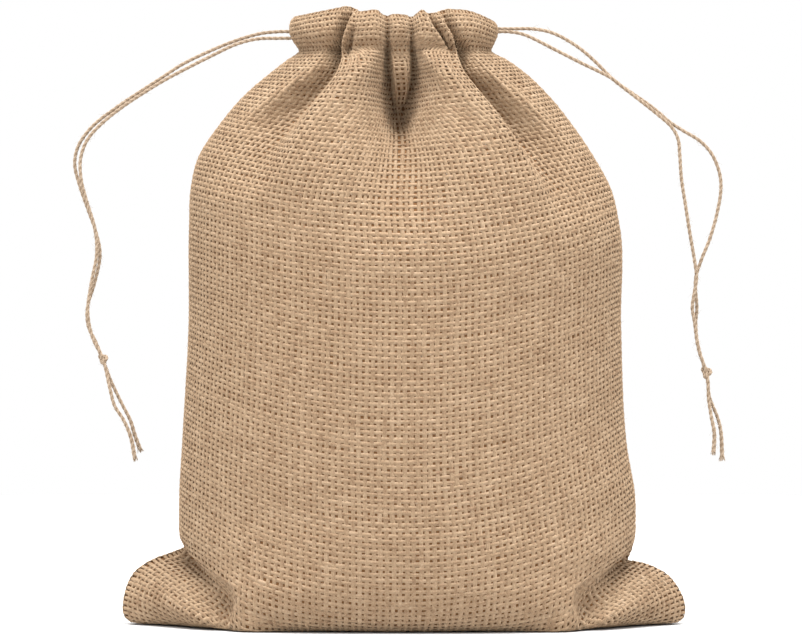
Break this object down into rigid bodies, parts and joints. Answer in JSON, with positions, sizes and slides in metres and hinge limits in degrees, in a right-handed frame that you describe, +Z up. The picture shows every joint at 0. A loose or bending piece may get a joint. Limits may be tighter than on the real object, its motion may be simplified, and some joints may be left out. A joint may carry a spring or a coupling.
{
  "type": "burlap sack",
  "caption": "Burlap drawstring sack standing filled on its base, its mouth gathered into a pleated channel, with a jute drawstring's knotted ends out of each side.",
  "frame": {"origin": "on the ground, under the middle of the sack without its drawstrings", "axes": "+Z up, the front faces -Y, +X to the right when looking at the front"},
  "size_m": [0.2312, 0.1, 0.2186],
  "materials": {
    "burlap": "coarse open plain weave of unbleached jute yarn, matt",
    "jute_twine": "twisted unbleached jute twine, matt and a little hairy"
  },
  "bodies": {
    "root": {"sack": "burlap", "strand_left_front": "jute_twine", "strand_left_back": "jute_twine", "strand_right_front": "jute_twine", "strand_right_back": "jute_twine", "knot_left": "jute_twine", "knot_right": "jute_twine", "tail_left_front": "jute_twine", "tail_left_back": "jute_twine", "tail_right_front": "jute_twine", "tail_right_back": "jute_twine"}
  },
  "joints": []
}
